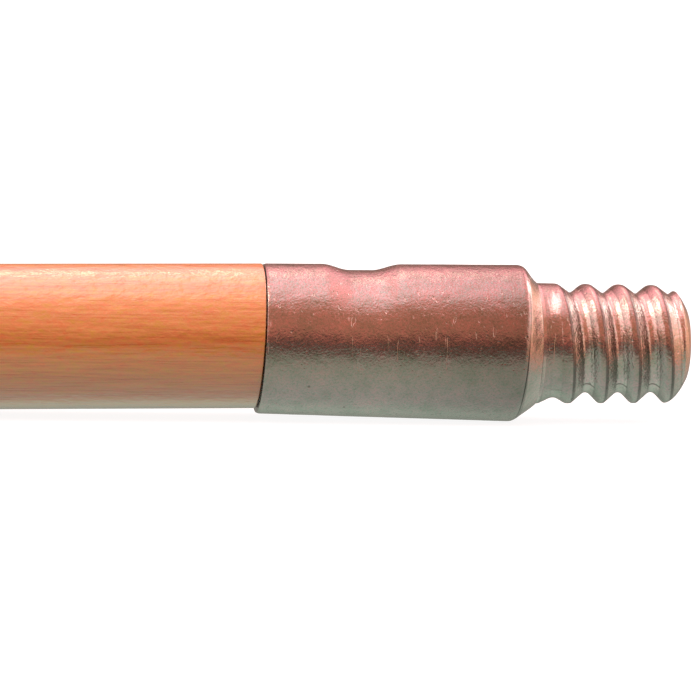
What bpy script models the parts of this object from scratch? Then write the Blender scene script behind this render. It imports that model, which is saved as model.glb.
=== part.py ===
"""Roller extension pole: a lacquered hardwood pole with a die-cast zinc threaded tip crimped on its end.

The pole lies along X with the tip at +X. The origin is the centre of the tip's flat end face, and the
X axis is the axis of the thread and of the socket behind it. Metres, +Z up.
"""

import math

import bmesh
import bpy
from mathutils import Matrix, Vector

MM = 0.001

# Whole object
OVERALL_LENGTH = 1219.0 * MM  # 48 inches
FIT_GAP = 0.3 * MM  # between the tenon and the socket, and between the wood's shoulder and the mouth

# Wooden pole
POLE_DIAMETER = 22.0 * MM
BUTT_ROUNDING = 4.5 * MM
TENON_CHAMFER = 1.0 * MM
TENON_END_PLAY = 1.0 * MM  # the tenon stops this far short of the socket's floor

# Socket of the metal tip
SOCKET_LENGTH = 39.3 * MM  # mouth to the start of the shoulder's cone
RIM_STEP = 0.8 * MM  # how much wider the mouth is than the wood
SOCKET_DRAFT = 1.1 * MM  # how much wider the socket is at its shoulder than at its mouth
SOCKET_WALL = 1.6 * MM  # at the mouth
SOCKET_FLOOR = 4.0 * MM  # floor of the bore to the base of the stud
MOUTH_ROUNDING = 0.5 * MM
SHOULDER_LENGTH = 2.6 * MM
SHOULDER_ROUNDING = 1.2 * MM
NECK_FILLET = 0.6 * MM

# Threaded stud of the metal tip: 5 turns to the inch, right-hand, blunt cast profile
STUD_LENGTH = 23.5 * MM
STUD_BASE_DIAMETER = 18.5 * MM
STUD_END_DIAMETER = 18.1 * MM  # the casting's draft makes the end smaller than the base
THREAD_PITCH = 5.08 * MM
THREAD_DEPTH = 1.75 * MM
CREST_WIDTH = 0.7 * MM
FLANK_WIDTH = 1.7 * MM  # along the axis, from the crest's edge to the root
PLAIN_NECK = 1.1 * MM  # from the base of the stud to the first trace of the groove
GROOVE_RUN_IN = 3.3 * MM  # advance along the axis in which the groove reaches its full depth
GROOVE_AT_TOP = -2.7 * MM  # where the last turn of the groove crosses the top of the stud
NOSE_LENGTH = 3.4 * MM
END_FACE_DIAMETER = 11.0 * MM

# Crimp: a rounded punch pressed into the top of the socket
CRIMP_FROM_MOUTH = 15.0 * MM
CRIMP_LENGTH = 12.2 * MM
CRIMP_WALL_LENGTH = 4.4 * MM
CRIMP_DEPTH = 0.94 * MM

# How finely the solids are faceted
FACETS = 40
STATIONS_PER_PITCH = 12
CRIMP_STATIONS = 10
ARC_STEPS = 4
NOSE_STEPS = 5
MOST_OF_A_SPAN = 0.45  # a fillet takes up no more than this share of the spans beside it
CLOSEST_STATION = 0.02 * MM

# Places along X that follow from the sizes above
STUD_BASE_X = -STUD_LENGTH
CONE_START_X = STUD_BASE_X - SHOULDER_LENGTH
MOUTH_X = CONE_START_X - SOCKET_LENGTH
BORE_FLOOR_X = STUD_BASE_X - SOCKET_FLOOR
WOOD_SHOULDER_X = MOUTH_X - FIT_GAP
TENON_END_X = BORE_FLOOR_X - TENON_END_PLAY
BUTT_X = -OVERALL_LENGTH
CRIMP_X = MOUTH_X + CRIMP_FROM_MOUTH
CRIMP_LOW_X = CRIMP_X - CRIMP_LENGTH / 2
GROOVE_START_X = STUD_BASE_X + PLAIN_NECK

# Sizes across that follow from them
MOUTH_DIAMETER = POLE_DIAMETER + RIM_STEP
SHOULDER_DIAMETER = MOUTH_DIAMETER + SOCKET_DRAFT
BORE_RADIUS = MOUTH_DIAMETER / 2 - SOCKET_WALL
TENON_RADIUS = BORE_RADIUS - FIT_GAP
ROOT_WIDTH = THREAD_PITCH - CREST_WIDTH - 2 * FLANK_WIDTH

# The socket's rim is flush with the wood on top, so it stands proud of the wood underneath.
POLE_AXIS_Z = RIM_STEP / 2


def clear_scene():
    for obj in list(bpy.data.objects):
        bpy.data.objects.remove(obj, do_unlink=True)


def material(name, color, roughness, metallic):
    made = bpy.data.materials.new(name)
    made.use_nodes = True
    shader = made.node_tree.nodes["Principled BSDF"]
    shader.inputs["Base Color"].default_value = (*color, 1.0)
    shader.inputs["Roughness"].default_value = roughness
    shader.inputs["Metallic"].default_value = metallic
    return made


def smoothstep(value):
    """0 below 0, 1 above 1, and an S-curve between them."""
    value = min(max(value, 0.0), 1.0)
    return value * value * (3.0 - 2.0 * value)


def filleted(corners):
    """Profile points through corners (x, radius, fillet), each corner with a fillet made an arc."""
    points = []
    for i, (x, radius, fillet) in enumerate(corners):
        corner = Vector((x, radius))
        if not fillet:
            points.append(corner)
            continue
        back = Vector(corners[i - 1][:2]) - corner
        ahead = Vector(corners[i + 1][:2]) - corner
        half_angle = back.angle(ahead) / 2
        longest = MOST_OF_A_SPAN * min(back.length, ahead.length)
        setback = min(fillet / math.tan(half_angle), longest)
        back.normalize()
        ahead.normalize()
        centre = corner + (back + ahead).normalized() * setback / math.cos(half_angle)
        start = corner + back * setback - centre
        end = corner + ahead * setback - centre
        arc_radius = start.length
        start.normalize()
        end.normalize()
        for step in range(ARC_STEPS + 1):
            points.append(centre + start.slerp(end, step / ARC_STEPS) * arc_radius)
    return points


def divided(points, low_x, high_x, count):
    """The profile with a point added where a straight span passes one of the stations between two places."""
    stations = [low_x + (high_x - low_x) * n / count for n in range(count + 1)]
    made = points[:1]
    for start, end in zip(points, points[1:]):
        reach = end.x - start.x
        inside = [x for x in stations if min(abs(x - start.x), abs(x - end.x)) > CLOSEST_STATION]
        shares = sorted((x - start.x) / reach for x in inside if (x - start.x) * (x - end.x) < 0)
        made += [start.lerp(end, share) for share in shares]
        made.append(end)
    return made


def turned(name, profile, finish, collection):
    """A solid turned about X from a profile of (x, radius) that runs from the tip end down the outer side."""
    mesh = bpy.data.meshes.new(name + "_profile")
    edges = [(i, i + 1) for i in range(len(profile) - 1)]
    mesh.from_pydata([(point.y, 0.0, point.x) for point in profile], edges, [])
    blank = bpy.data.objects.new(name, mesh)
    collection.objects.link(blank)
    screw = blank.modifiers.new("turning", "SCREW")
    screw.axis = "Z"
    screw.angle = math.tau
    screw.steps = screw.render_steps = FACETS
    screw.use_merge_vertices = True
    screw.merge_threshold = 1e-6
    graph = bpy.context.evaluated_depsgraph_get()
    solid = bpy.data.meshes.new_from_object(blank.evaluated_get(graph))
    blank.modifiers.clear()
    blank.data = solid
    bpy.data.meshes.remove(mesh)
    solid.name = name

    # Local Z turns to X, and half a facet's turn puts a flat facet, not an edge, at the bottom.
    half_facet = Matrix.Rotation(math.pi / FACETS, 4, "Z")
    solid.transform(Matrix.Rotation(math.pi / 2, 4, "Y") @ half_facet)
    shape = bmesh.new()
    shape.from_mesh(solid)
    bmesh.ops.remove_doubles(shape, verts=shape.verts, dist=1e-6)
    bmesh.ops.recalc_face_normals(shape, faces=shape.faces)
    shape.to_mesh(solid)
    shape.free()
    solid.materials.append(finish)
    return blank


def shade(obj):
    obj.data.shade_smooth()
    obj.data.set_sharp_from_angle(angle=math.radians(35))


def press_crimp(co):
    """Moves a point under the punch inwards by the same amount at any radius, so that walls keep their distance."""
    along = (CRIMP_LENGTH / 2 - abs(co.x - CRIMP_X)) / CRIMP_WALL_LENGTH
    radius = math.hypot(co.y, co.z)
    if radius > CRIMP_DEPTH and co.z > 0.0:
        upward = co.z / radius
        ratio = 1.0 - CRIMP_DEPTH * smoothstep(along) * upward * upward / radius
        co.y *= ratio
        co.z *= ratio


def crest_radius(x):
    """Radius over the thread's crests, which the casting's draft makes smaller towards the end."""
    share = (x - STUD_BASE_X) / STUD_LENGTH
    return (STUD_BASE_DIAMETER + (STUD_END_DIAMETER - STUD_BASE_DIAMETER) * share) / 2


def nose_radius(x):
    """Radius of the rounded nose, a parabola from the end face out to the crests."""
    left = 1.0 + x / NOSE_LENGTH
    return crest_radius(x) - (crest_radius(x) - END_FACE_DIAMETER / 2) * left * left


def groove_depth(x, angle):
    """Depth of the thread's groove at a place along X and an angle round it, from +Y towards +Z."""
    turns_past_top = (angle - math.pi / 2) / math.tau
    groove_count = (x - GROOVE_AT_TOP) / THREAD_PITCH - turns_past_top
    from_middle = (groove_count - round(groove_count)) * THREAD_PITCH
    run_in = smoothstep((x - from_middle - GROOVE_START_X) / GROOVE_RUN_IN)
    up_flank = (abs(from_middle) - ROOT_WIDTH / 2) / FLANK_WIDTH
    return THREAD_DEPTH * run_in * (1.0 - smoothstep(up_flank))


def cut_thread(co):
    """Moves a point of the stud's side down into the groove."""
    radius = math.hypot(co.y, co.z)
    wanted = min(radius, crest_radius(co.x) - groove_depth(co.x, math.atan2(co.z, co.y)))
    co.y *= wanted / radius
    co.z *= wanted / radius


def make_tip(finish, collection):
    """The die-cast tip: nose, thread, neck, shoulder and socket, then back up the bore to its floor."""
    nose = [-NOSE_LENGTH * n / NOSE_STEPS for n in range(NOSE_STEPS + 1)]
    corners = [(0.0, 0.0, 0.0)]
    corners += [(x, nose_radius(x), 0.0) for x in nose]
    corners += [
        (STUD_BASE_X, STUD_BASE_DIAMETER / 2, NECK_FILLET),
        (CONE_START_X, SHOULDER_DIAMETER / 2, SHOULDER_ROUNDING),
        (MOUTH_X, MOUTH_DIAMETER / 2, MOUTH_ROUNDING),
        (MOUTH_X, BORE_RADIUS, 0.0),
        (BORE_FLOOR_X, BORE_RADIUS, 0.0),
        (BORE_FLOOR_X, 0.0, 0.0),
    ]
    profile = filleted(corners)
    thread_stations = math.ceil(-GROOVE_START_X / THREAD_PITCH * STATIONS_PER_PITCH)
    profile = divided(profile, GROOVE_START_X, 0.0, thread_stations)
    profile = divided(profile, CRIMP_LOW_X, CRIMP_LOW_X + CRIMP_LENGTH, CRIMP_STATIONS)
    tip = turned("threaded_tip", profile, finish, collection)
    for vertex in tip.data.vertices:
        if 0.0 > vertex.co.x > STUD_BASE_X:
            cut_thread(vertex.co)
        elif vertex.co.x < CONE_START_X:
            press_crimp(vertex.co)
    shade(tip)
    return tip


def make_pole(finish, collection):
    """The wooden pole: tenon, shoulder, the long round and the rounded butt."""
    corners = [
        (TENON_END_X, 0.0, 0.0),
        (TENON_END_X, TENON_RADIUS - TENON_CHAMFER, 0.0),
        (TENON_END_X - TENON_CHAMFER, TENON_RADIUS, 0.0),
        (WOOD_SHOULDER_X, TENON_RADIUS, 0.0),
        (WOOD_SHOULDER_X, POLE_DIAMETER / 2, 0.0),
        (BUTT_X, POLE_DIAMETER / 2, BUTT_ROUNDING),
        (BUTT_X, 0.0, 0.0),
    ]
    profile = filleted(corners)
    profile = divided(profile, CRIMP_LOW_X, CRIMP_LOW_X + CRIMP_LENGTH, CRIMP_STATIONS)
    pole = turned("wood_pole", profile, finish, collection)
    tenon_limit = (TENON_RADIUS + POLE_DIAMETER / 2) / 2
    for vertex in pole.data.vertices:
        on_shoulder_face = vertex.co.x > WOOD_SHOULDER_X - FIT_GAP
        if on_shoulder_face and math.hypot(vertex.co.y, vertex.co.z) < tenon_limit:
            press_crimp(vertex.co)
        else:
            vertex.co.z += POLE_AXIS_Z
    shade(pole)
    return pole


def main():
    clear_scene()
    collection = bpy.data.collections.new("roller_extension_pole")
    bpy.context.scene.collection.children.link(collection)
    lacquered_wood = material("lacquered_hardwood", (0.62, 0.27, 0.10), 0.25, 0.0)
    cast_zinc = material("die_cast_zinc", (0.62, 0.58, 0.54), 0.38, 1.0)
    make_pole(lacquered_wood, collection)
    make_tip(cast_zinc, collection)


main()
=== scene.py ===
"""Looks of a roller extension pole: clear-lacquered hardwood with a die-cast zinc threaded tip."""

import math

import bmesh
import bpy
from mathutils import Matrix, Vector


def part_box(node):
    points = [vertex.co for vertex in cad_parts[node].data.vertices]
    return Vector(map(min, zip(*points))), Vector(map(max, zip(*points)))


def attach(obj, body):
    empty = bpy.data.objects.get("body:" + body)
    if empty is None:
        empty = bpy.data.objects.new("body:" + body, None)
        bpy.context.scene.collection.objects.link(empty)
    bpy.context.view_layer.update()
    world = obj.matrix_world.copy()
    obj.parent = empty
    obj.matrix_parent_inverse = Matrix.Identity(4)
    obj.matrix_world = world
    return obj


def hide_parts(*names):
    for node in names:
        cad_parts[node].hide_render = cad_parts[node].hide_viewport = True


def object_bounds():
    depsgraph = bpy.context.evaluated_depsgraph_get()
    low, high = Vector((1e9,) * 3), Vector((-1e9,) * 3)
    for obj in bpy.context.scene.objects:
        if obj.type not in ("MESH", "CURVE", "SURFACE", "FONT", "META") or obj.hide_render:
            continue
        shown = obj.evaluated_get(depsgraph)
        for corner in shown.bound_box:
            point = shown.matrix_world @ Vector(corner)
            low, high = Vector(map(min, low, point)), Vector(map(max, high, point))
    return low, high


MM = 0.001

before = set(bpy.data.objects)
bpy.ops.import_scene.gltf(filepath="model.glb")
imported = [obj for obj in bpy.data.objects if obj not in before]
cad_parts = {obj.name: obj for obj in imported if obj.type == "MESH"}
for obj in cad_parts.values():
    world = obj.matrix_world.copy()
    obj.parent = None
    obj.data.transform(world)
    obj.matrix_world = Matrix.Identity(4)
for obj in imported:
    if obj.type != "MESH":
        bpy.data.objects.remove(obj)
CAD_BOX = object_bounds()
TIP_LOW, TIP_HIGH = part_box("threaded_tip")
POLE_LOW, POLE_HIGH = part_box("wood_pole")

# Tip, along X from its flat end face
STUD_LENGTH = 23.5 * MM
SHOULDER_LENGTH = 2.6 * MM
SOCKET_FLOOR = 4.0 * MM
MOUTH_OVERHANG = 0.3 * MM  # how far the rim reaches into the gap at the wood's shoulder
FIT_GAP = 0.22 * MM  # between the rim and the wood's shoulder
BASE_X = TIP_HIGH.x - STUD_LENGTH
CONE_X = BASE_X - SHOULDER_LENGTH
MOUTH_X = TIP_LOW.x - MOUTH_OVERHANG
FLOOR_X = BASE_X - SOCKET_FLOOR

# Tip, across
BASE_DIAMETER = 18.5 * MM
END_DIAMETER = 18.1 * MM
MOUTH_DIAMETER = 22.8 * MM
SHOULDER_DIAMETER = 23.9 * MM
BORE_RADIUS = 9.8 * MM
END_FACE_DIAMETER = 11.0 * MM
NOSE_LENGTH = 3.4 * MM
RIM_CHAMFER_LENGTH = 0.4 * MM
RIM_CHAMFER_DEPTH = 0.15 * MM

# Thread
PITCH = 5.08 * MM
DEPTH = 1.53 * MM
DEEPER_BELOW = 0.11  # the die's halves are a little off: deeper below by this share, shallower on top
GROOVE_AT_TOP = -2.7 * MM
PLAIN_NECK = 1.1 * MM
RUN_IN = 3.3 * MM
# One pitch of the section, from crest to crest towards the end: place along the pitch, share of the depth.
# Crests are broad and round, roots narrow.
SECTION = [
    (0.0, 0.0),
    (0.06, 0.03),
    (0.14, 0.19),
    (0.20, 0.34),
    (0.27, 0.52),
    (0.35, 0.73),
    (0.43, 0.92),
    (0.50, 1.0),
    (0.57, 0.98),
    (0.66, 0.80),
    (0.75, 0.54),
    (0.83, 0.29),
    (0.90, 0.11),
    (0.95, 0.03),
    (1.0, 0.0),
]

# Crimp
CRIMP_X = MOUTH_X + 15.0 * MM
CRIMP_LENGTH = 12.2 * MM
CRIMP_WALL = 4.4 * MM
CRIMP_DEPTH = 0.94 * MM

# The mouth and the shoulder of the casting aren't quite square to the thread.
MOUTH_SLANT = math.radians(1.9)
MOUTH_TURN = math.radians(2.0)
SHOULDER_SLANT = math.radians(2.9)

# The casting came off the die a little bent, and the wood bows a little where it meets it.
MOUTH_RISE = 0.28 * MM
END_RISE = 0.1 * MM
BOW_LENGTH = 44.0 * MM
BOW_DROP = 0.33 * MM
STRAIGHT_FROM = 190.0 * MM  # behind the mouth, the pole is straight from here on

# Pole
POLE_RADIUS = 11.0 * MM
POLE_AXIS_Z = 0.4 * MM
BUTT_X = POLE_LOW.x
BUTT_ROUNDING = 4.5 * MM
SHOULDER_X = MOUTH_X - FIT_GAP
SHOULDER_FIT = 8.0 * MM  # each side of the wood's shoulder, its lean has faded out this far along
TENON_END_X = POLE_HIGH.x
TENON_RADIUS = 9.5 * MM
TENON_CHAMFER = 1.0 * MM

# Tone drawn on the tip, painted shade and highlights among it. The metal's brightness along one pitch, from
# the crest
# before the groove to the one after it: painted shade just off the crest, and a painted highlight on the root
THREAD_SHADE_AND_HIGHLIGHT = [
    (0.0, 1.1),
    (0.04, 0.95),
    (0.06, 0.45),
    (0.13, 0.45),
    (0.16, 1.15),
    (0.34, 1.3),
    (0.40, 0.95),
    (0.43, 1.35),
    (0.70, 1.4),
    (0.735, 0.8),
    (0.77, 1.0),
    (0.95, 1.1),
    (1.0, 1.1),
]
BRIGHT_MOUTH_TO = -48.0 * MM  # from here towards the shoulder the socket is drawn darker
DARKEST_AT = CONE_X - 2.0 * MM
CORNER_SHADE_X = CONE_X + 0.05 * MM  # painted shade in the corner of the shoulder
CORNER_SHADE_REACH = 0.11 * MM
PARTING_ANGLE = math.radians(46)  # of the die's parting line, low on the front and high on the back
# A painted highlight high on the front of the neck: its middle, and its size
NECK_HIGHLIGHT_AT = (-21.2 * MM, -5.8 * MM, 7.1 * MM)
NECK_HIGHLIGHT_SHAPE = (1 / (1.2 * MM), 1 / (3.3 * MM), 1 / (3.3 * MM))  # it is 1.2 mm by 3.3 mm each way

# Meshes
TIP_SEGMENTS = 216
POLE_SEGMENTS = 200
FINE = 0.13 * MM  # between the rings of the thread
SHARP_EDGE = math.radians(50)  # edges that turn by more than this are shaded sharp
NEAR_AXIS = 0.1 * MM  # keeps a division by the radius finite


def linear(hex_colour):
    """An sRGB hex colour as linear RGBA."""
    parts = [int(hex_colour[i : i + 2], 16) / 255 for i in (1, 3, 5)]
    return tuple(p / 12.92 if p <= 0.04045 else ((p + 0.055) / 1.055) ** 2.4 for p in parts) + (1.0,)


def add(tree, kind, inputs=(), **settings):
    """Adds a node with its settings. An input is a value, a socket, or a node for its first live output."""
    node = tree.nodes.new(kind)
    for name, value in settings.items():
        setattr(node, name, value)
    for key, value in inputs.items() if isinstance(inputs, dict) else enumerate(inputs):
        if isinstance(value, bpy.types.Node):
            value = next(output for output in value.outputs if output.enabled)
        if isinstance(value, bpy.types.NodeSocket):
            tree.links.new(value, node.inputs[key])
        elif value is not None:
            node.inputs[key].default_value = value
    return node


def ramp_stops(node, stops):
    """Sets a colour ramp's stops from (place, colour) pairs."""
    elements = node.color_ramp.elements
    while len(elements) > 1:
        elements.remove(elements[-1])
    for index, (place, colour) in enumerate(stops):
        element = elements[0] if index == 0 else elements.new(place)
        element.position = place
        element.color = colour


def material(name):
    """An empty material, its tree and its shader."""
    made = bpy.data.materials.new(name)
    made.use_nodes = True
    tree = made.node_tree
    return made, tree, tree.nodes["Principled BSDF"]


# ---------------------------------------------------------------- shapes


def arc(centre_x, centre_r, radius, start, end, steps):
    """Profile points (x, radius) on an arc, angles in degrees from +X towards outwards."""
    made = []
    for step in range(steps + 1):
        angle = math.radians(start + (end - start) * step / steps)
        made.append((centre_x + radius * math.cos(angle), centre_r + radius * math.sin(angle)))
    return made


def spaced(start, end, step):
    """Places from start up to but not including end, about a step apart."""
    count = max(1, round(abs(end - start) / step))
    return [start + (end - start) * n / count for n in range(count)]


def crest_radius(x):
    """The stud's radius over its crests, which the draft of the die makes smaller towards the end."""
    share = (x - BASE_X) / STUD_LENGTH
    return (BASE_DIAMETER + (END_DIAMETER - BASE_DIAMETER) * share) / 2


def rounded(points, reach, step):
    """Smooths a profile of straight runs: each point is the mean of the line within reach of it."""
    lengths = [0.0]
    for (x0, r0), (x1, r1) in zip(points, points[1:]):
        lengths.append(lengths[-1] + math.hypot(x1 - x0, r1 - r0))
    total = lengths[-1]

    def at(distance):
        """The point this far along the profile."""
        distance = min(max(distance, 0.0), total)
        for i in range(len(points) - 1):
            if distance <= lengths[i + 1]:
                share = (distance - lengths[i]) / (lengths[i + 1] - lengths[i])
                (x0, r0), (x1, r1) = points[i], points[i + 1]
                return x0 + (x1 - x0) * share, r0 + (r1 - r0) * share
        return points[-1]

    made = []
    count = round(total / step)
    each_side = 8
    for n in range(count + 1):
        middle = total * n / count
        half = min(reach, middle, total - middle)
        taps = [at(middle + half * k / each_side) for k in range(-each_side, each_side + 1)]
        made.append((sum(t[0] for t in taps) / len(taps), sum(t[1] for t in taps) / len(taps)))
    return made


def turned(name, profile, segments):
    """A closed solid turned about X from a profile that starts and ends on the axis."""
    corners = []
    faces = []
    ring = profile[1:-1]
    for x, radius in ring:
        for s in range(segments):
            angle = math.tau * s / segments
            corners.append((x, radius * math.cos(angle), radius * math.sin(angle)))
    for r in range(len(ring) - 1):
        for s in range(segments):
            a = r * segments + s
            b = r * segments + (s + 1) % segments
            faces.append((a, b, b + segments, a + segments))
    first = len(corners)
    corners += [(profile[0][0], 0.0, 0.0), (profile[-1][0], 0.0, 0.0)]
    tail = (len(ring) - 1) * segments
    for s in range(segments):
        after = (s + 1) % segments
        faces.append((first, after, s))
        faces.append((first + 1, tail + s, tail + after))
    mesh = bpy.data.meshes.new(name)
    mesh.from_pydata(corners, [], faces)
    shape = bmesh.new()
    shape.from_mesh(mesh)
    bmesh.ops.recalc_face_normals(shape, faces=shape.faces)
    shape.to_mesh(mesh)
    shape.free()
    obj = bpy.data.objects.new(name, mesh)
    bpy.context.scene.collection.objects.link(obj)
    return obj


def tip_profile():
    """Nose, stud, shoulder, socket and bore, without thread and crimp."""
    # The flat end face, then the nose, which meets the stud without an edge
    profile = [(0.0, 0.0), (0.0, 2.2 * MM), (0.0, 4.2 * MM)]
    nose = [(0.0, 5.2 * MM)]
    for x in spaced(0.0, -NOSE_LENGTH, FINE):
        left = 1.0 + x / NOSE_LENGTH
        nose.append((x, crest_radius(x) - (crest_radius(x) - END_FACE_DIAMETER / 2) * left * left))
    profile += rounded(nose, 0.3 * MM, 0.12 * MM)

    # The stud, the neck and the shoulder's cone, as soft as a die leaves them
    neck_x = BASE_X + 1.4 * MM
    behind_x = CONE_X - 3.2 * MM
    profile += [(x, crest_radius(x)) for x in spaced(-NOSE_LENGTH, neck_x, FINE)]
    neck = [
        (neck_x, crest_radius(neck_x)),
        (BASE_X + 0.3 * MM, BASE_DIAMETER / 2),
        (CONE_X - 0.1 * MM, SHOULDER_DIAMETER / 2),
        (behind_x, SHOULDER_DIAMETER / 2 - 0.033 * MM),
    ]
    profile += rounded(neck, 0.7 * MM, FINE)

    # The socket's outside, the rim of its mouth and the bore
    slope = (SHOULDER_DIAMETER - MOUTH_DIAMETER) / 2 / (CONE_X - MOUTH_X)
    rim_x = MOUTH_X + 1.2 * MM
    for x in spaced(behind_x - 0.3 * MM, rim_x, 0.42 * MM):
        profile.append((x, MOUTH_DIAMETER / 2 + slope * (x - MOUTH_X)))
    rim = [
        (rim_x, MOUTH_DIAMETER / 2 + slope * (rim_x - MOUTH_X)),
        (MOUTH_X + RIM_CHAMFER_LENGTH, MOUTH_DIAMETER / 2),
        (MOUTH_X, MOUTH_DIAMETER / 2 - RIM_CHAMFER_DEPTH),
        (MOUTH_X, BORE_RADIUS),
        (MOUTH_X + 1.0 * MM, BORE_RADIUS),
    ]
    profile += rounded(rim, 0.09 * MM, 0.06 * MM)
    profile += [(x, BORE_RADIUS) for x in spaced(MOUTH_X + 1.6 * MM, FLOOR_X, 0.7 * MM)]
    profile += [(FLOOR_X, BORE_RADIUS), (FLOOR_X, BORE_RADIUS / 2), (FLOOR_X, 0.0)]
    return profile


def pole_profile():
    """Tenon, shoulder, the long round and the rounded butt."""
    short_x = TENON_END_X - TENON_CHAMFER
    fine_to = SHOULDER_X - 80 * MM
    profile = [(TENON_END_X, 0.0), (TENON_END_X, TENON_RADIUS / 2)]
    profile += [(TENON_END_X, TENON_RADIUS - TENON_CHAMFER)]
    profile += [(x, TENON_RADIUS) for x in spaced(short_x, SHOULDER_X, 0.7 * MM)]
    shoulder = [(SHOULDER_X, TENON_RADIUS), (SHOULDER_X, POLE_RADIUS), (SHOULDER_X - 1.5 * MM, POLE_RADIUS)]
    profile += rounded(shoulder, 0.15 * MM, 0.1 * MM)
    profile += [(x, POLE_RADIUS) for x in spaced(SHOULDER_X - 2.0 * MM, fine_to, 0.7 * MM)]
    profile += [(x, POLE_RADIUS) for x in spaced(fine_to, BUTT_X + BUTT_ROUNDING, 5 * MM)]
    profile += arc(BUTT_X + BUTT_ROUNDING, POLE_RADIUS - BUTT_ROUNDING, BUTT_ROUNDING, 90, 180, 16)
    profile += [(BUTT_X, 3.2 * MM), (BUTT_X, 0.0)]
    return profile


# ---------------------------------------------------------------- geometry trees


def new_tree(name, inputs):
    """A geometry tree with a geometry socket in and out and the named inputs."""
    tree = bpy.data.node_groups.new(name, "GeometryNodeTree")
    tree.interface.new_socket("Geometry", in_out="INPUT", socket_type="NodeSocketGeometry")
    tree.interface.new_socket("Geometry", in_out="OUTPUT", socket_type="NodeSocketGeometry")
    for label, value in inputs.items():
        kind = "NodeSocketMaterial" if isinstance(value, bpy.types.Material) else "NodeSocketFloat"
        tree.interface.new_socket(label, in_out="INPUT", socket_type=kind)
    return tree, tree.nodes.new("NodeGroupInput"), tree.nodes.new("NodeGroupOutput")


def run_tree(obj, tree, inputs):
    """Runs a geometry tree on an object with these inputs, and keeps the result as its plain mesh."""
    modifier = obj.modifiers.new(tree.name, "NODES")
    modifier.node_group = tree
    for item in tree.interface.items_tree:
        if item.in_out == "INPUT" and item.name in inputs:
            modifier[item.identifier] = inputs[item.name]
    graph = bpy.context.evaluated_depsgraph_get()
    mesh = bpy.data.meshes.new_from_object(obj.evaluated_get(graph))
    obj.modifiers.clear()
    obj.data = mesh
    mesh.name = obj.name
    mesh.shade_smooth()
    mesh.set_sharp_from_angle(angle=SHARP_EDGE)


def cut_thread(tree, size, blank):
    """Cuts the thread into the stud, and marks how deep the groove has run in as the attribute groove."""
    x, y, z = add(tree, "ShaderNodeSeparateXYZ", [add(tree, "GeometryNodeInputPosition")]).outputs
    across = add(tree, "ShaderNodeCombineXYZ", [0.0, y, z])
    radius = add(tree, "ShaderNodeVectorMath", [across], operation="LENGTH").outputs["Value"]
    radius = add(tree, "ShaderNodeMath", [radius, NEAR_AXIS], operation="MAXIMUM")

    # Pitches along from where the groove crosses the top: at each whole number is its middle again
    angle = add(tree, "ShaderNodeMath", [z, y], operation="ARCTAN2")
    turn = add(tree, "ShaderNodeMath", [angle, 1 / math.tau, -0.25], operation="MULTIPLY_ADD")
    pitches = add(tree, "ShaderNodeMath", [x, size["Groove At Top"]], operation="SUBTRACT")
    pitches = add(tree, "ShaderNodeMath", [pitches, size["Pitch"]], operation="DIVIDE")
    pitches = add(tree, "ShaderNodeMath", [pitches, turn], operation="SUBTRACT")
    nearest = add(tree, "ShaderNodeMath", [pitches], operation="ROUND")
    off_middle = add(tree, "ShaderNodeMath", [pitches, nearest], operation="SUBTRACT")

    along = add(tree, "ShaderNodeMath", [off_middle, 0.5], operation="ADD")
    section = add(tree, "ShaderNodeFloatCurve", {"Value": along})
    curve = section.mapping.curves[0]
    curve.points[0].location = SECTION[0]
    curve.points[1].location = SECTION[-1]
    for place, share in SECTION[1:-1]:
        curve.points.new(place, share)
    section.mapping.update()

    # The groove gets deeper as it leaves the neck, and is deeper below than on top
    off_middle = add(tree, "ShaderNodeMath", [off_middle, size["Pitch"]], operation="MULTIPLY")
    groove_x = add(tree, "ShaderNodeMath", [x, off_middle], operation="SUBTRACT")
    full_at = add(tree, "ShaderNodeMath", [size["Groove Start"], size["Run In"]], operation="ADD")
    run = [groove_x, size["Groove Start"], full_at, 0.0, 1.0]
    run = add(tree, "ShaderNodeMapRange", run, interpolation_type="SMOOTHSTEP")
    upward = add(tree, "ShaderNodeMath", [z, radius], operation="DIVIDE")
    depth = add(tree, "ShaderNodeMapRange", [upward, -1.0, 1.0, size["Depth Below"], size["Depth On Top"]])
    depth = add(tree, "ShaderNodeMath", [depth, run], operation="MULTIPLY")
    depth = add(tree, "ShaderNodeMath", [depth, section], operation="MULTIPLY")

    crest = [x, size["Stud Base"], 0.0, size["Base Radius"], size["End Radius"]]
    crest = add(tree, "ShaderNodeMapRange", crest)
    wanted = add(tree, "ShaderNodeMath", [crest, depth], operation="SUBTRACT")
    wanted = add(tree, "ShaderNodeMath", [radius, wanted, size["Edge Softness"]], operation="SMOOTH_MIN")
    ratio = add(tree, "ShaderNodeMath", [wanted, radius], operation="DIVIDE")
    ratio = add(tree, "ShaderNodeCombineXYZ", [1.0, ratio, ratio])
    cut = add(tree, "ShaderNodeCombineXYZ", [x, y, z])
    cut = add(tree, "ShaderNodeVectorMath", [cut, ratio], operation="MULTIPLY")

    # Only the stud's side is cut, not its end face
    past_base = add(tree, "ShaderNodeMath", [x, size["Stud Base"]], operation="GREATER_THAN")
    behind_face = add(tree, "ShaderNodeMath", [x, size["Side From"]], operation="LESS_THAN")
    round_face = add(tree, "ShaderNodeMath", [radius, size["Face Edge"]], operation="GREATER_THAN")
    side = add(tree, "ShaderNodeMath", [past_base, behind_face], operation="MULTIPLY")
    side = add(tree, "ShaderNodeMath", [side, round_face], operation="MULTIPLY")
    grooved = add(tree, "ShaderNodeMath", [side, run], operation="MULTIPLY")
    mark = {"Geometry": blank, "Name": "groove", "Value": grooved}
    marked = add(tree, "GeometryNodeStoreNamedAttribute", mark, data_type="FLOAT", domain="POINT")
    return add(tree, "GeometryNodeSetPosition", {"Geometry": marked, "Selection": side, "Position": cut})


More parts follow.
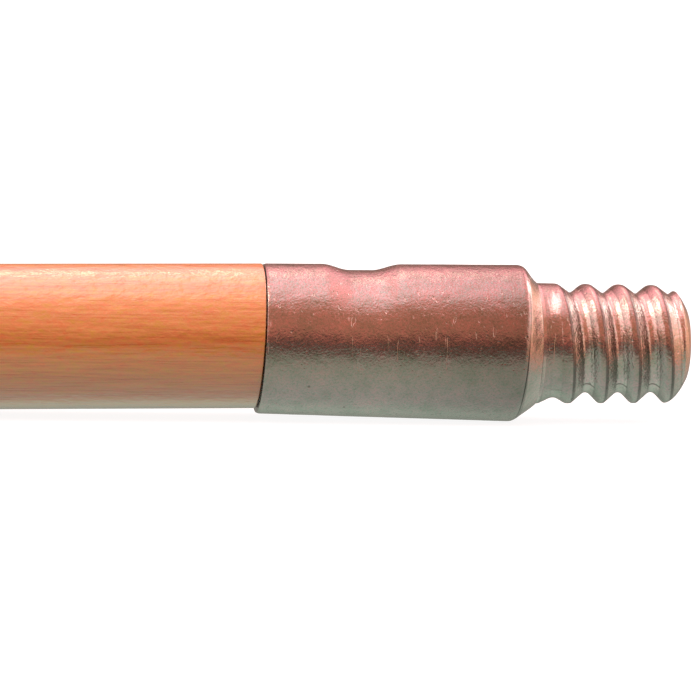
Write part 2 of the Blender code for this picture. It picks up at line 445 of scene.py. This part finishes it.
def press_crimp(tree, size, threaded):
    """Presses the crimp: a rounded dent in the top, between two sloped walls."""
    x, y, z = add(tree, "ShaderNodeSeparateXYZ", [add(tree, "GeometryNodeInputPosition")]).outputs
    across = add(tree, "ShaderNodeCombineXYZ", [0.0, y, z])
    radius = add(tree, "ShaderNodeVectorMath", [across], operation="LENGTH").outputs["Value"]
    radius = add(tree, "ShaderNodeMath", [radius, NEAR_AXIS], operation="MAXIMUM")
    off_middle = add(tree, "ShaderNodeMath", [x, size["Crimp Middle"]], operation="SUBTRACT")
    off_middle = add(tree, "ShaderNodeMath", [off_middle], operation="ABSOLUTE")
    press = [off_middle, size["Crimp Half Length"], size["Crimp Half Floor"], 0.0, size["Crimp Depth"]]
    press = add(tree, "ShaderNodeMapRange", press, interpolation_type="SMOOTHSTEP")
    upward = add(tree, "ShaderNodeMath", [z, radius], operation="DIVIDE")
    upward = add(tree, "ShaderNodeMath", [upward, 0.0], operation="MAXIMUM")
    upward = add(tree, "ShaderNodeMath", [upward, upward], operation="MULTIPLY")
    dent = add(tree, "ShaderNodeMath", [press, upward], operation="MULTIPLY")
    dent = add(tree, "ShaderNodeMath", [dent, radius], operation="DIVIDE")
    ratio = add(tree, "ShaderNodeMath", [1.0, dent], operation="SUBTRACT")
    ratio = add(tree, "ShaderNodeCombineXYZ", [1.0, ratio, ratio])
    dented = add(tree, "ShaderNodeCombineXYZ", [x, y, z])
    dented = add(tree, "ShaderNodeVectorMath", [dented, ratio], operation="MULTIPLY")
    return add(tree, "GeometryNodeSetPosition", {"Geometry": threaded, "Position": dented})


def roughen_skin(tree, size, crimped):
    """Gives the skin of a casting: slow waviness and a fine grain, along the surface's own normal."""
    spot = {"Vector": add(tree, "GeometryNodeInputPosition"), "W": size["Seed"], "Detail": 2.0}
    waves = add(tree, "ShaderNodeTexNoise", {**spot, "Scale": 1 / (4.5 * MM)}, noise_dimensions="4D")
    waves = add(tree, "ShaderNodeMath", [waves, 0.5], operation="SUBTRACT")
    waves = add(tree, "ShaderNodeMath", [waves, size["Waviness"]], operation="MULTIPLY")
    grain = add(tree, "ShaderNodeTexNoise", {**spot, "Scale": 1 / (1.1 * MM)}, noise_dimensions="4D")
    grain = add(tree, "ShaderNodeMath", [grain, 0.5], operation="SUBTRACT")
    rough = add(tree, "ShaderNodeMath", [grain, size["Grain"], waves], operation="MULTIPLY_ADD")
    normal = add(tree, "GeometryNodeInputNormal")
    push = add(tree, "ShaderNodeVectorMath", {0: normal, "Scale": rough}, operation="SCALE")
    return add(tree, "GeometryNodeSetPosition", {"Geometry": crimped, "Offset": push})


def lean_ends(tree, size, skinned):
    """Leans the mouth and the shoulder and bends the casting a little. The thread stays square."""
    x, y, z = add(tree, "ShaderNodeSeparateXYZ", [add(tree, "GeometryNodeInputPosition")]).outputs
    back = [x, size["Stud Base"], size["Cone"], 0.0, 1.0]
    back = add(tree, "ShaderNodeMapRange", back, interpolation_type="SMOOTHSTEP")
    slant = [x, size["Cone"], size["Mouth"], size["Shoulder Slant"], size["Mouth Slant"]]
    slant = add(tree, "ShaderNodeMapRange", slant)
    slant = add(tree, "ShaderNodeMath", [slant, back], operation="MULTIPLY")
    lean = add(tree, "ShaderNodeMath", [z, slant], operation="MULTIPLY")
    aside = add(tree, "ShaderNodeMapRange", [x, size["Cone"], size["Mouth"], 0.0, size["Mouth Turn"]])
    lean = add(tree, "ShaderNodeMath", [y, aside, lean], operation="MULTIPLY_ADD")
    mouth_up = add(tree, "ShaderNodeMapRange", [x, size["Cone"], size["Mouth"], 0.0, size["Mouth Rise"]])
    end_up = add(tree, "ShaderNodeMapRange", [x, size["Stud Base"], 0.0, 0.0, size["End Rise"]])
    rise = add(tree, "ShaderNodeMath", [mouth_up, end_up], operation="ADD")
    offset = add(tree, "ShaderNodeCombineXYZ", [lean, 0.0, rise])
    return add(tree, "GeometryNodeSetPosition", {"Geometry": skinned, "Offset": offset})


def casting_tree(inputs):
    """Turns the plain blank into the casting: thread, crimp, skin and leaning ends."""
    tree, given, out = new_tree("casting", inputs)
    size = given.outputs
    casting = cut_thread(tree, size, size["Geometry"])
    casting = press_crimp(tree, size, casting)
    casting = roughen_skin(tree, size, casting)
    casting = lean_ends(tree, size, casting)
    whole = add(tree, "GeometryNodeRealizeInstances", [casting])
    finished = add(tree, "GeometryNodeSetMaterial", {"Geometry": whole, "Material": size["Finish"]})
    tree.links.new(finished.outputs[0], out.inputs[0])
    return tree


# ---------------------------------------------------------------- finishes


def zinc_tone(tree, spot, along, faced_and_highlit_cone):
    """How bright the zinc is drawn: darker near the shoulder, with painted shade and highlights on the
    thread, cone and neck.
    """
    x, y, z = add(tree, "ShaderNodeSeparateXYZ", [spot]).outputs
    # Darker from the mouth towards the shoulder, and lighter again over the cone and the stud
    darker_to_shoulder = add(tree, "ShaderNodeMapRange", [x, BRIGHT_MOUTH_TO, DARKEST_AT, 1.0, 0.76])
    brighter = add(tree, "ShaderNodeMapRange", [x, CONE_X, BASE_X, 0.0, 0.2])
    tone = add(tree, "ShaderNodeMath", [darker_to_shoulder, brighter], operation="ADD")
    # Painted highlight: the shoulder's cone is drawn brighter
    tone = add(tree, "ShaderNodeMath", [faced_and_highlit_cone, 0.35, tone], operation="MULTIPLY_ADD")
    # Painted shade and highlights along the thread: a ramp holds 0 to 1, so they are halved in it and doubled
    # after it
    pitch_shading = add(tree, "ShaderNodeValToRGB", [along])
    ramp_stops(pitch_shading, [(at, (v / 2, v / 2, v / 2, 1.0)) for at, v in THREAD_SHADE_AND_HIGHLIGHT])
    pitch_shading = add(tree, "ShaderNodeMath", [pitch_shading, 2.0, -1.0], operation="MULTIPLY_ADD")
    groove = add(tree, "ShaderNodeAttribute", attribute_name="groove").outputs["Fac"]
    tone = add(tree, "ShaderNodeMath", [groove, pitch_shading, tone], operation="MULTIPLY_ADD")
    # Painted shade in the corner where the shoulder's cone starts, which leans with it
    corner = add(tree, "ShaderNodeMath", [z, math.tan(SHOULDER_SLANT), CORNER_SHADE_X], operation="MULTIPLY_ADD")
    corner_shade = add(tree, "ShaderNodeMath", [x, corner, CORNER_SHADE_REACH], operation="COMPARE")
    tone = add(tree, "ShaderNodeMath", [corner_shade, -0.5, tone], operation="MULTIPLY_ADD")
    # Painted highlight: a ragged bright spot high on the front of the neck
    away = add(tree, "ShaderNodeVectorMath", [spot, NECK_HIGHLIGHT_AT], operation="SUBTRACT")
    away = add(tree, "ShaderNodeVectorMath", [away, NECK_HIGHLIGHT_SHAPE], operation="MULTIPLY")
    away = add(tree, "ShaderNodeVectorMath", [away], operation="LENGTH").outputs["Value"]
    round_about = add(tree, "ShaderNodeMapping", {"Vector": spot, "Scale": (1.0, 0.12, 0.12)})
    streaks = {"Vector": round_about, "Scale": 1 / (0.45 * MM), "Detail": 2.0}
    streaks = add(tree, "ShaderNodeTexNoise", streaks)
    streaks = add(tree, "ShaderNodeMath", [streaks, 0.5], operation="SUBTRACT")
    away = add(tree, "ShaderNodeMath", [streaks, 1.8, away], operation="MULTIPLY_ADD")
    neck_highlight = add(tree, "ShaderNodeMapRange", [away, 0.2, 1.0, 1.5, 0.0], interpolation_type="SMOOTHSTEP")
    return add(tree, "ShaderNodeMath", [tone, neck_highlight], operation="ADD")


def parting_line(tree, spot, along):
    """The die's parting line: a fine dark seam across the thread's roots, on both sides of the stud."""
    x, y, z = add(tree, "ShaderNodeSeparateXYZ", [spot]).outputs
    front = add(tree, "ShaderNodeMath", [y, -1.0], operation="MULTIPLY")
    angle = add(tree, "ShaderNodeMath", [z, front], operation="ARCTAN2")
    angle = add(tree, "ShaderNodeMath", [angle, PARTING_ANGLE], operation="ADD")
    off_line = add(tree, "ShaderNodeMath", [angle, math.pi / 2], operation="PINGPONG")
    line = add(tree, "ShaderNodeMapRange", [off_line, 0.012, 0.03, 1.0, 0.0])
    groove = add(tree, "ShaderNodeAttribute", attribute_name="groove").outputs["Fac"]
    root = add(tree, "ShaderNodeMath", [along, 0.57, 0.17], operation="COMPARE")
    line = add(tree, "ShaderNodeMath", [line, groove], operation="MULTIPLY")
    return add(tree, "ShaderNodeMath", [line, root], operation="MULTIPLY")


def zinc_relief(tree, spot, pit, smoother):
    """Chill grains over a softer swell, pits, small dings and scuffs from other tools, as one normal."""
    swell = add(tree, "ShaderNodeTexNoise", {"Vector": spot, "Scale": 1 / (1.5 * MM), "Detail": 1.0})
    bump = add(tree, "ShaderNodeBump", {"Height": swell, "Distance": 0.075 * MM})
    grain = {"Vector": spot, "Scale": 1 / (0.34 * MM), "Detail": 2.0, "Roughness": 0.6}
    grain = add(tree, "ShaderNodeTexNoise", grain)
    relief = {"Height": grain, "Strength": smoother, "Distance": 0.06 * MM, "Normal": bump}
    bump = add(tree, "ShaderNodeBump", relief)
    bump = add(tree, "ShaderNodeBump", {"Height": pit, "Distance": 0.06 * MM, "Normal": bump}, invert=True)
    # Dings 0.2 to 0.4 mm across and about 1.25 mm apart
    dings = add(tree, "ShaderNodeTexVoronoi", {"Vector": spot, "Scale": 1 / (1.25 * MM), "Randomness": 1.0})
    ding = [dings.outputs["Distance"], 0.03, 0.17, 1.0, 0.0]
    ding = add(tree, "ShaderNodeMapRange", ding, interpolation_type="SMOOTHSTEP")
    relief = {"Height": ding, "Strength": smoother, "Distance": 0.035 * MM, "Normal": bump}
    bump = add(tree, "ShaderNodeBump", relief, invert=True)
    # Scuffs: hair-fine lines about 9 mm long, leaning both ways
    for turn, seed in ((0.9, 2.0), (-0.5, 7.0)):
        way = {"Vector": spot, "Rotation": (0.0, turn, 0.0), "Scale": (1.0, 1.0, 0.06)}
        way = add(tree, "ShaderNodeMapping", way)
        line = {"Vector": way, "W": seed, "Scale": 1 / (0.55 * MM), "Detail": 0.0}
        line = add(tree, "ShaderNodeTexNoise", line, noise_dimensions="4D")
        scuff = add(tree, "ShaderNodeMapRange", [line, 0.74, 0.8, 0.0, 1.0])
        relief = {"Height": scuff, "Distance": 0.04 * MM, "Normal": bump}
        bump = add(tree, "ShaderNodeBump", relief, invert=True)
    return bump


def cast_zinc():
    """Die-cast zinc alloy, bare: a grey metal with a satin skin, grainy where it chilled on the die."""
    made, tree, shader = material("die_cast_zinc_alloy")
    shader.inputs["Metallic"].default_value = 1.0
    spot = add(tree, "ShaderNodeTexCoord").outputs["Object"]
    x, y, z = add(tree, "ShaderNodeSeparateXYZ", [spot]).outputs

    # Place along the thread's pitch: 0 and 1 on the crests, 0.5 in the root
    angle = add(tree, "ShaderNodeMath", [z, y], operation="ARCTAN2")
    turn = add(tree, "ShaderNodeMath", [angle, 1 / math.tau, -0.25], operation="MULTIPLY_ADD")
    crest_first = 0.5 - GROOVE_AT_TOP / PITCH
    pitches = add(tree, "ShaderNodeMath", [x, 1 / PITCH, crest_first], operation="MULTIPLY_ADD")
    along = add(tree, "ShaderNodeMath", [pitches, turn], operation="SUBTRACT")
    along = add(tree, "ShaderNodeMath", [along], operation="FRACT")
    # The shoulder's cone, which was faced with a tool and is smoother, and is drawn brighter as a painted
    # highlight
    past_corner = add(tree, "ShaderNodeMath", [x, CONE_X + 0.1 * MM], operation="GREATER_THAN")
    before_stud = add(tree, "ShaderNodeMath", [x, BASE_X + 0.5 * MM], operation="LESS_THAN")
    faced_and_highlit_cone = add(tree, "ShaderNodeMath", [past_corner, before_stud], operation="MULTIPLY")

    # Colour: cloudy patches of thin oxide 3 mm wide, cooler and warmer than the metal
    cloud = {"Vector": spot, "Scale": 1 / (3.2 * MM), "Detail": 4.0, "Roughness": 0.6}
    cloud = add(tree, "ShaderNodeTexNoise", cloud)
    patches = add(tree, "ShaderNodeValToRGB", [cloud])
    ramp_stops(patches, [(0.3, linear("#8f938c")), (0.5, linear("#9c9a97")), (0.72, linear("#a89d9b"))])
    # Mottle: tints at the size of the chill grains, which are drawn 0.36 mm wide to show
    mottle = {"Vector": spot, "Scale": 1 / (0.36 * MM), "Detail": 4.0, "Roughness": 0.75}
    mottle = add(tree, "ShaderNodeTexNoise", mottle)
    tints = add(tree, "ShaderNodeValToRGB", [mottle])
    tint_stops = [(0.3, "#c6dacb"), (0.45, "#e4ecea"), (0.55, "#faf0f2"), (0.7, "#ffe0ea")]
    ramp_stops(tints, [(at, linear(colour)) for at, colour in tint_stops])
    tinted = {0: 1.0, 6: patches, 7: tints}
    colour = add(tree, "ShaderNodeMix", tinted, data_type="RGBA", blend_type="MULTIPLY").outputs[2]
    tone = zinc_tone(tree, spot, along, faced_and_highlit_cone)
    toned = add(tree, "ShaderNodeVectorMath", {0: colour, "Scale": tone}, operation="SCALE")

    # Pits: dark specks where gas left the metal, about 0.4 mm across and 5 mm apart
    pits = add(tree, "ShaderNodeTexVoronoi", {"Vector": spot, "Scale": 1 / (5.0 * MM), "Randomness": 1.0})
    pit = add(tree, "ShaderNodeMapRange", [pits.outputs["Distance"], 0.02, 0.06, 1.0, 0.0])
    pit_dark = add(tree, "ShaderNodeMath", [pit, 0.6], operation="MULTIPLY")
    line_dark = add(tree, "ShaderNodeMath", [parting_line(tree, spot, along), 0.75], operation="MULTIPLY")
    dark = add(tree, "ShaderNodeMath", [pit_dark, line_dark], operation="MAXIMUM")
    dirty = add(tree, "ShaderNodeMix", {0: dark, 6: toned, 7: linear("#4a4440")}, data_type="RGBA")
    tree.links.new(dirty.outputs[2], shader.inputs["Base Color"])

    rough = add(tree, "ShaderNodeMapRange", [mottle, 0.3, 0.7, 0.17, 0.29])
    tree.links.new(rough.outputs[0], shader.inputs["Roughness"])
    smoother = add(tree, "ShaderNodeMath", [faced_and_highlit_cone, -0.7, 1.0], operation="MULTIPLY_ADD")
    relief = zinc_relief(tree, spot, pit, smoother)
    tree.links.new(relief.outputs[0], shader.inputs["Normal"])
    return made


def lacquered_hardwood():
    """Hardwood under clear lacquer: fine straight grain under a glossy coat that has flowed unevenly."""
    made, tree, shader = material("clear_lacquered_hardwood")
    spot = add(tree, "ShaderNodeTexCoord").outputs["Object"]
    # Fibres run the length of the pole: 0.3 mm wide streaks inside 2 mm wide bands
    fine = add(tree, "ShaderNodeMapping", {"Vector": spot, "Scale": (0.035, 1.0, 1.0)})
    fibres = {"Vector": fine, "Scale": 1 / (0.32 * MM), "Detail": 3.0, "Roughness": 0.6}
    fibres = add(tree, "ShaderNodeTexNoise", fibres)
    tone = add(tree, "ShaderNodeValToRGB", [fibres])
    ramp_stops(tone, [(0.28, linear("#915f31")), (0.5, linear("#9e6f3d")), (0.72, linear("#a77b47"))])
    broad = add(tree, "ShaderNodeMapping", {"Vector": spot, "Scale": (0.05, 1.0, 1.0)})
    bands = add(tree, "ShaderNodeTexNoise", {"Vector": broad, "Scale": 1 / (2.4 * MM), "Detail": 3.0})
    warm = add(tree, "ShaderNodeValToRGB", [bands])
    ramp_stops(warm, [(0.3, linear("#f2cfb4")), (0.5, linear("#fff2e4")), (0.7, linear("#fffff0"))])
    banded = {0: 1.0, 6: tone, 7: warm}
    colour = add(tree, "ShaderNodeMix", banded, data_type="RGBA", blend_type="MULTIPLY").outputs[2]
    # Mottle: yellower and redder flecks 0.6 mm wide and 1.5 mm long
    fleck_way = add(tree, "ShaderNodeMapping", {"Vector": spot, "Scale": (0.4, 1.0, 1.0)})
    flecks = {"Vector": fleck_way, "Scale": 1 / (0.6 * MM), "Detail": 3.0, "Roughness": 0.7}
    flecks = add(tree, "ShaderNodeTexNoise", flecks)
    hues = add(tree, "ShaderNodeValToRGB", [flecks])
    ramp_stops(hues, [(0.34, linear("#eeffa8")), (0.5, linear("#f8f4f0")), (0.66, linear("#ffdcd8"))])
    flecked = {0: 1.0, 6: colour, 7: hues}
    colour = add(tree, "ShaderNodeMix", flecked, data_type="RGBA", blend_type="MULTIPLY").outputs[2]
    # Pores: dark dashes, drawn 0.4 mm by 6 mm to show
    dash = add(tree, "ShaderNodeMapping", {"Vector": spot, "Scale": (0.07, 1.0, 1.0)})
    pores = add(tree, "ShaderNodeTexNoise", {"Vector": dash, "Scale": 1 / (0.42 * MM), "Detail": 1.0})
    pore = add(tree, "ShaderNodeMapRange", [pores, 0.66, 0.74, 0.0, 0.45])
    grain = add(tree, "ShaderNodeMix", {0: pore, 6: colour, 7: linear("#8a4824")}, data_type="RGBA")
    tree.links.new(grain.outputs[2], shader.inputs["Base Color"])

    rough = add(tree, "ShaderNodeMapRange", [fibres, 0.3, 0.7, 0.24, 0.4])
    tree.links.new(rough.outputs[0], shader.inputs["Roughness"])
    shader.inputs["IOR"].default_value = 1.5
    shader.inputs["Specular IOR Level"].default_value = 0.8
    shader.inputs["Coat Weight"].default_value = 1.0
    shader.inputs["Coat IOR"].default_value = 1.6
    shader.inputs["Coat Roughness"].default_value = 0.09
    # Lacquer: waves 1.6 mm wide and 2.5 mm long, and the fibres telegraphing through it
    flow = add(tree, "ShaderNodeMapping", {"Vector": spot, "Scale": (0.65, 1.0, 1.0)})
    waves = {"Vector": flow, "Scale": 1 / (1.6 * MM), "Detail": 3.0, "Roughness": 0.6}
    waves = add(tree, "ShaderNodeTexNoise", waves)
    bump = add(tree, "ShaderNodeBump", {"Height": waves, "Distance": 0.14 * MM})
    skin = add(tree, "ShaderNodeBump", {"Height": fibres, "Distance": 0.012 * MM, "Normal": bump})
    tree.links.new(skin.outputs[0], shader.inputs["Coat Normal"])
    tree.links.new(skin.outputs[0], shader.inputs["Normal"])
    return made


# ---------------------------------------------------------------- pieces


def eased(value):
    """0 below 0, 1 above 1, and an S-curve between them."""
    value = min(max(value, 0.0), 1.0)
    return value * value * (3.0 - 2.0 * value)


def fit_to_socket(mesh):
    """Dents the tenon under the crimp, and offsets the round wood, slants its shoulder and bows it."""
    tenon_from = SHOULDER_X - 0.01 * MM
    tenon_edge = (TENON_RADIUS + POLE_RADIUS) / 2
    for vertex in mesh.vertices:
        co = vertex.co
        radius = math.hypot(co.y, co.z)
        if co.x > tenon_from and radius < tenon_edge:
            along = (CRIMP_LENGTH / 2 - abs(co.x - CRIMP_X)) / CRIMP_WALL
            if radius > CRIMP_DEPTH and co.z > 0.0:
                ratio = 1.0 - CRIMP_DEPTH * eased(along) * (co.z / radius) ** 2 / radius
                co.y *= ratio
                co.z *= ratio
        else:
            co.z += POLE_AXIS_Z
        behind = SHOULDER_X - co.x
        leaning = math.tan(MOUTH_SLANT) * co.z + math.tan(MOUTH_TURN) * co.y
        co.x += leaning * max(0.0, 1.0 - abs(behind) / SHOULDER_FIT)
        if behind < 0.0:
            co.z += MOUTH_RISE * (1.0 + behind / (CONE_X - MOUTH_X))
        elif behind < BOW_LENGTH:
            co.z += MOUTH_RISE - (MOUTH_RISE + BOW_DROP) * behind / BOW_LENGTH
        else:
            co.z -= BOW_DROP * (1.0 - eased((behind - BOW_LENGTH) / (STRAIGHT_FROM - BOW_LENGTH)))


zinc = cast_zinc()
wood = lacquered_hardwood()

tip = turned("threaded_tip_cast", tip_profile(), TIP_SEGMENTS)
tip_sizes = {
    "Pitch": PITCH,
    "Depth On Top": DEPTH * (1.0 - DEEPER_BELOW),
    "Depth Below": DEPTH * (1.0 + DEEPER_BELOW),
    "Edge Softness": 0.25 * MM,
    "Groove At Top": GROOVE_AT_TOP,
    "Groove Start": BASE_X + PLAIN_NECK,
    "Run In": RUN_IN,
    "Stud Base": BASE_X,
    "Base Radius": BASE_DIAMETER / 2,
    "End Radius": END_DIAMETER / 2,
    "Face Edge": END_FACE_DIAMETER / 2 + 0.1 * MM,
    "Side From": -0.02 * MM,
    "Crimp Middle": CRIMP_X,
    "Crimp Half Length": CRIMP_LENGTH / 2,
    "Crimp Half Floor": CRIMP_LENGTH / 2 - CRIMP_WALL,
    "Crimp Depth": CRIMP_DEPTH,
    "Waviness": 0.06 * MM,
    "Grain": 0.02 * MM,
    "Cone": CONE_X,
    "Mouth": MOUTH_X,
    "Shoulder Slant": math.tan(SHOULDER_SLANT),
    "Mouth Slant": math.tan(MOUTH_SLANT),
    "Mouth Turn": math.tan(MOUTH_TURN),
    "Mouth Rise": MOUTH_RISE,
    "End Rise": END_RISE,
    "Seed": 3.0,
    "Finish": zinc,
}
run_tree(tip, casting_tree(tip_sizes), tip_sizes)
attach(tip, "root")
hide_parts("threaded_tip")

pole = turned("pole_lacquered", pole_profile(), POLE_SEGMENTS)
fit_to_socket(pole.data)
pole.data.materials.append(wood)
pole.data.shade_smooth()
pole.data.set_sharp_from_angle(angle=SHARP_EDGE)
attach(pole, "root")
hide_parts("wood_pole")


# ---------------------------------------------------------------- studio


# The surroundings in a turn round the pole, in degrees: behind (-180), straight down (-90), in front (0),
# overhead (90) and behind again (180). Greenish grey from the table, a dark horizon, then warm and pink
ROUND_THE_POLE = [
    (-180, "#5c5854"),
    (-150, "#666a62"),
    (-126, "#8c968a"),
    (-91, "#8c8a84"),
    (-66, "#8a897f"),
    (-44, "#838375"),
    (-30, "#858173"),
    (-20, "#7c7467"),
    (-11, "#5a4840"),
    (-2, "#46302b"),
    (6, "#5e332c"),
    (14, "#8c5446"),
    (24, "#a66853"),
    (44, "#9c604c"),
    (55, "#ac6c58"),
    (64, "#b87664"),
    (74, "#dc9890"),
    (86, "#faa39c"),
    (107, "#fca8a4"),
    (122, "#ffadad"),
    (138, "#f8aaac"),
    (148, "#c08084"),
    (154, "#8c645c"),
    (164, "#5a4038"),
    (172, "#54423a"),
    (180, "#6a6662"),
]
# Off the tip's end, from straight down (-1) to straight up (1): warmer and paler, with no dark line
OFF_THE_TIP = [
    (-1.0, "#7c867a"),
    (-0.44, "#8a8a80"),
    (-0.24, "#a07866"),
    (-0.04, "#c08468"),
    (0.2, "#e8aa92"),
    (0.44, "#f8c8bc"),
    (1.0, "#fcc4bc"),
]
# Off the butt's end, in the same way: the horizon is lower and softer
OFF_THE_BUTT = [
    (-1.0, "#8c968a"),
    (-0.22, "#8c8a80"),
    (-0.14, "#7c7468"),
    (-0.08, "#70564a"),
    (0.0, "#8c5a4a"),
    (0.1, "#b07058"),
    (0.2, "#d09078"),
    (0.3, "#f4bcac"),
    (0.45, "#ffd4cc"),
    (1.0, "#fcc4c0"),
]
# Round lamps, one beyond the tip and one beyond the mouth: direction, colour, brightness, cosine at its edge
LAMPS = [
    ((0.66, 0.4, 0.64), "#fff0ec", 1.4, 0.97),
    ((-0.6, 0.1, 0.79), "#fff4dc", 2.2, 0.965),
]
LAMP_CORE = 0.99  # cosine at which a lamp has its full brightness
SURROUND_STRENGTH = 3.3


def overhead_lights(tree, ahead, angle, surround):
    """Adds a narrow tube lamp high up behind, and a cool skylight, both over the pole's end of the table."""
    starts = add(tree, "ShaderNodeMapRange", [ahead, -0.1, 0.0, 0.0, 1.0])

    off_tube = add(tree, "ShaderNodeMath", [angle, math.radians(127)], operation="SUBTRACT")
    off_tube = add(tree, "ShaderNodeMath", [off_tube], operation="ABSOLUTE")
    tube = add(tree, "ShaderNodeMapRange", [off_tube, math.radians(2), math.radians(5), 1.5, 0.0])
    ends = add(tree, "ShaderNodeMapRange", [ahead, 0.095, 0.118, 1.0, 0.0])
    tube = add(tree, "ShaderNodeMath", [tube, ends], operation="MULTIPLY")
    tube = add(tree, "ShaderNodeMath", [tube, starts], operation="MULTIPLY")
    glow = add(tree, "ShaderNodeVectorMath", {0: linear("#fff6c8")[:3], "Scale": tube}, operation="SCALE")
    surround = add(tree, "ShaderNodeVectorMath", [surround, glow], operation="ADD")

    near_edge = add(tree, "ShaderNodeMapRange", [angle, math.radians(62), math.radians(80), 0.0, 1.0])
    far_edge = add(tree, "ShaderNodeMapRange", [angle, math.radians(112), math.radians(132), 1.0, 0.0])
    ends = add(tree, "ShaderNodeMapRange", [ahead, 0.114, 0.146, 1.0, 0.0])
    sky = add(tree, "ShaderNodeMath", [near_edge, far_edge], operation="MULTIPLY")
    sky = add(tree, "ShaderNodeMath", [sky, ends], operation="MULTIPLY")
    sky = add(tree, "ShaderNodeMath", [sky, starts], operation="MULTIPLY")
    glow = add(tree, "ShaderNodeVectorMath", {0: linear("#00a6ad")[:3], "Scale": sky}, operation="SCALE")
    return add(tree, "ShaderNodeVectorMath", [surround, glow], operation="ADD")


def studio_world():
    """A soft studio in bands round the pole, with lamps that only reflections show. Behind it is white."""
    world = bpy.data.worlds.new("studio")
    world.use_nodes = True
    bpy.context.scene.world = world
    tree = world.node_tree
    tree.nodes.clear()
    way = add(tree, "ShaderNodeTexCoord").outputs["Generated"]
    ahead, inward, upward = add(tree, "ShaderNodeSeparateXYZ", [way]).outputs

    front = add(tree, "ShaderNodeMath", [inward, -1.0], operation="MULTIPLY")
    angle = add(tree, "ShaderNodeMath", [upward, front], operation="ARCTAN2")
    share = add(tree, "ShaderNodeMapRange", [angle, -math.pi, math.pi, 0.0, 1.0])
    bands = add(tree, "ShaderNodeValToRGB", [share])
    ramp_stops(bands, [((degrees + 180) / 360, linear(colour)) for degrees, colour in ROUND_THE_POLE])
    height = add(tree, "ShaderNodeMapRange", [upward, -1.0, 1.0, 0.0, 1.0])
    surround = bands
    for stops, fade_from, fade_to in ((OFF_THE_TIP, 0.42, 0.8), (OFF_THE_BUTT, -0.6, -0.88)):
        end_bands = add(tree, "ShaderNodeValToRGB", [height])
        ramp_stops(end_bands, [((z + 1) / 2, linear(colour)) for z, colour in stops])
        fade = [ahead, fade_from, fade_to, 0.0, 1.0]
        fade = add(tree, "ShaderNodeMapRange", fade, interpolation_type="SMOOTHSTEP")
        faded = {0: fade, 6: surround, 7: end_bands}
        surround = add(tree, "ShaderNodeMix", faded, data_type="RGBA").outputs[2]

    for direction, colour, brightness, edge in LAMPS:
        toward = add(tree, "ShaderNodeVectorMath", [way, direction], operation="DOT_PRODUCT").outputs["Value"]
        glow = [toward, edge, LAMP_CORE, 0.0, brightness]
        glow = add(tree, "ShaderNodeMapRange", glow, interpolation_type="SMOOTHSTEP")
        glow = add(tree, "ShaderNodeVectorMath", {0: linear(colour)[:3], "Scale": glow}, operation="SCALE")
        surround = add(tree, "ShaderNodeVectorMath", [surround, glow], operation="ADD")
    surround = overhead_lights(tree, ahead, angle, surround)

    lit = add(tree, "ShaderNodeBackground", {"Color": surround, "Strength": SURROUND_STRENGTH})
    plain = add(tree, "ShaderNodeBackground", {"Color": linear("#ffffff"), "Strength": 1.0})
    seen = add(tree, "ShaderNodeLightPath").outputs["Is Camera Ray"]
    both = add(tree, "ShaderNodeMixShader", [seen, lit, plain])
    add(tree, "ShaderNodeOutputWorld", [both])


def floor():
    """A white floor just under the pole, bright enough to hide its horizon, that takes a faint shadow."""
    half = 400.0
    level = CAD_BOX[0][2] - 0.02 * MM
    corners = [(-half, -half, level), (half, -half, level), (half, half, level), (-half, half, level)]
    mesh = bpy.data.meshes.new("floor")
    mesh.from_pydata(corners, [], [(0, 1, 2, 3)])
    obj = bpy.data.objects.new("floor", mesh)
    bpy.context.scene.collection.objects.link(obj)
    made, tree, shader = material("white_painted_floor")
    shader.inputs["Base Color"].default_value = linear("#6f6f6f")
    shader.inputs["Roughness"].default_value = 1.0
    shader.inputs["Specular IOR Level"].default_value = 0.0
    shader.inputs["Emission Color"].default_value = linear("#ffffff")
    shader.inputs["Emission Strength"].default_value = 0.9
    mesh.materials.append(made)
    obj.visible_glossy = False
    obj.visible_diffuse = False


def soft_light(name, place, power, colour):
    """A soft panel light along the pole, which no reflection shows."""
    aim = Vector((-0.6, 0.0, 0.0))
    light = bpy.data.lights.new(name, "AREA")
    light.shape = "RECTANGLE"
    light.size, light.size_y = 1.6, 0.5
    light.energy = power
    light.color = colour
    obj = bpy.data.objects.new(name, light)
    bpy.context.scene.collection.objects.link(obj)
    obj.location = place
    obj.rotation_euler = (aim - Vector(place)).to_track_quat("-Z", "Y").to_euler()
    obj.visible_glossy = False
    obj.visible_camera = False


def camera():
    """A long lens on the tip, a little above it and round towards the butt, and not quite level."""
    yaw, rise, roll = (math.radians(a) for a in (8.5, 8.0, 1.82))
    distance = 1060.0 * MM
    field_width = 106.48 * MM  # what the picture spans at that distance
    aim = Vector((-51.73, 0.0, -1.35)) * MM
    back = Vector((-math.sin(yaw) * math.cos(rise), -math.cos(yaw) * math.cos(rise), math.sin(rise)))
    right = (-back).cross(Vector((0, 0, 1))).normalized()
    up = right.cross(-back)
    untilt = Matrix.Rotation(roll, 3, -back).inverted()
    axes = Matrix((untilt @ right, untilt @ up, back)).transposed().to_4x4()
    data = bpy.data.cameras.new("camera")
    data.sensor_width = 36.0
    data.lens = data.sensor_width * distance / field_width
    data.clip_start = 0.05
    data.clip_end = 1000.0
    obj = bpy.data.objects.new("camera", data)
    bpy.context.scene.collection.objects.link(obj)
    obj.matrix_world = Matrix.Translation(aim + back * distance) @ axes
    bpy.context.scene.camera = obj


studio_world()
floor()
soft_light("key", (-0.6, 0.45, 0.75), 10.0, (1.0, 1.0, 1.0))
soft_light("fill", (-0.6, -0.5, 0.75), 14.0, (0.97, 1.0, 1.1))
camera()
bpy.context.scene.view_settings.view_transform = "Standard"
